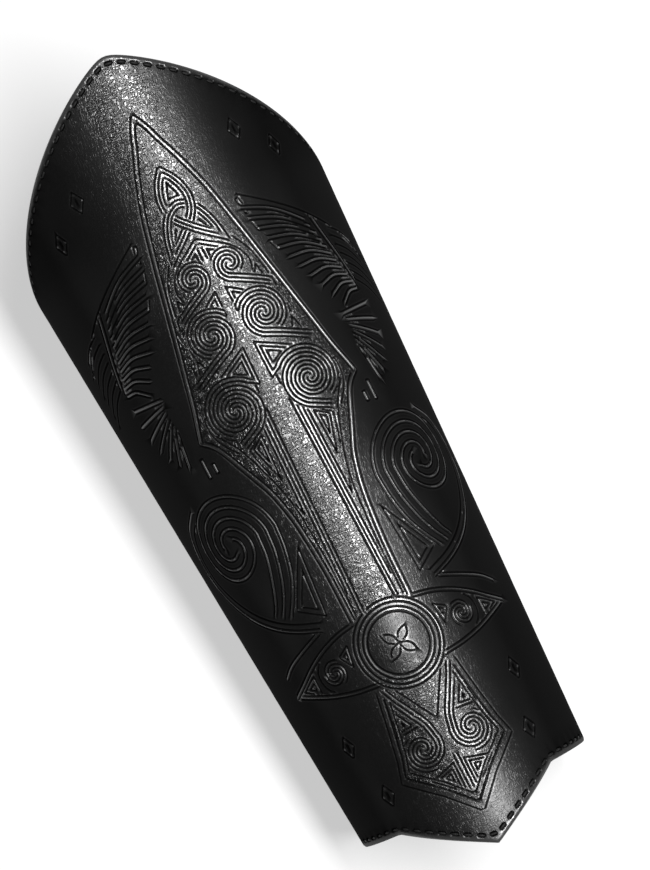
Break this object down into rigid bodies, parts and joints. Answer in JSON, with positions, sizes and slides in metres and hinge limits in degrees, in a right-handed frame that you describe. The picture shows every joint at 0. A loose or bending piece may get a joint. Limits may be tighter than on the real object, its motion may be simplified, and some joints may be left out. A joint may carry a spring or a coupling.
{
  "type": "laced leather vambrace",
  "caption": "Tapered leather forearm guard with a pointed elbow edge, tooled ornament, sewn edges and a laced opening behind.",
  "frame": {"origin": "centre of the bounding box at its bottom, on the surface that the guard lies on", "axes": "+Y along the forearm towards the elbow, +Z out of the back of the forearm, +X across"},
  "size_m": [0.0926, 0.2464, 0.0923],
  "materials": {
    "embossed_leather": "black, tooled, satin",
    "leatherboard": "raw, matte",
    "plain_leather": "black, satin",
    "lining_cloth": "napped, matte",
    "eyelet_brass": "antique, satin"
  },
  "bodies": {
    "root": {"cover": "embossed_leather", "core": "leatherboard", "lining": "lining_cloth", "lacing_strip_left": "plain_leather", "eyelets_left": "eyelet_brass", "lacing_strip_right": "plain_leather", "eyelets_right": "eyelet_brass"}
  },
  "joints": []
}
